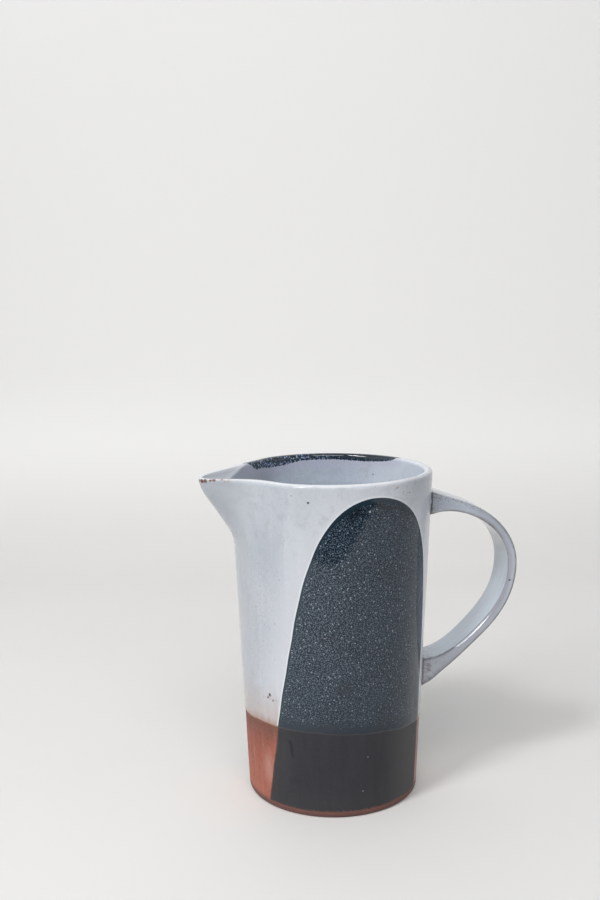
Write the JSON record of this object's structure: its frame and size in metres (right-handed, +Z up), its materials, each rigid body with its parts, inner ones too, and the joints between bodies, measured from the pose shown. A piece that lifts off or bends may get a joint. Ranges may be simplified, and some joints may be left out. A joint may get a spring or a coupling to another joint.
{
  "type": "jug",
  "caption": "Tapering glazed terracotta jug with a pulled spout and a strap handle, for holding and pouring drinks, with dipped dark slip fields and a bare clay foot",
  "frame": {"origin": "centre of the flat base, on the axis of the thrown body", "axes": "+Z up, +X towards the handle, -X towards the spout, +Y across the two slip fields"},
  "size_m": [0.1659, 0.1048, 0.17],
  "materials": {
    "terracotta": "bare fired red earthenware, matte",
    "luting_slip": "fired clay slurry, matte",
    "pale_glaze": "glossy pale blue-grey glaze, faintly streaked",
    "lining_glaze": "glossy pale blue-grey glaze",
    "dark_slip": "blue-black slip, speckled under the glaze and matte below the glaze line"
  },
  "bodies": {
    "root": {"thrown_body": "terracotta", "strap_handle": "terracotta", "upper_luting_joint": "luting_slip", "lower_luting_joint": "luting_slip", "pale_glaze_outside": "pale_glaze", "pale_glaze_lining": "lining_glaze", "handle_glaze": "pale_glaze", "dark_slip_front": "dark_slip", "dark_slip_back": "dark_slip"}
  },
  "joints": []
}
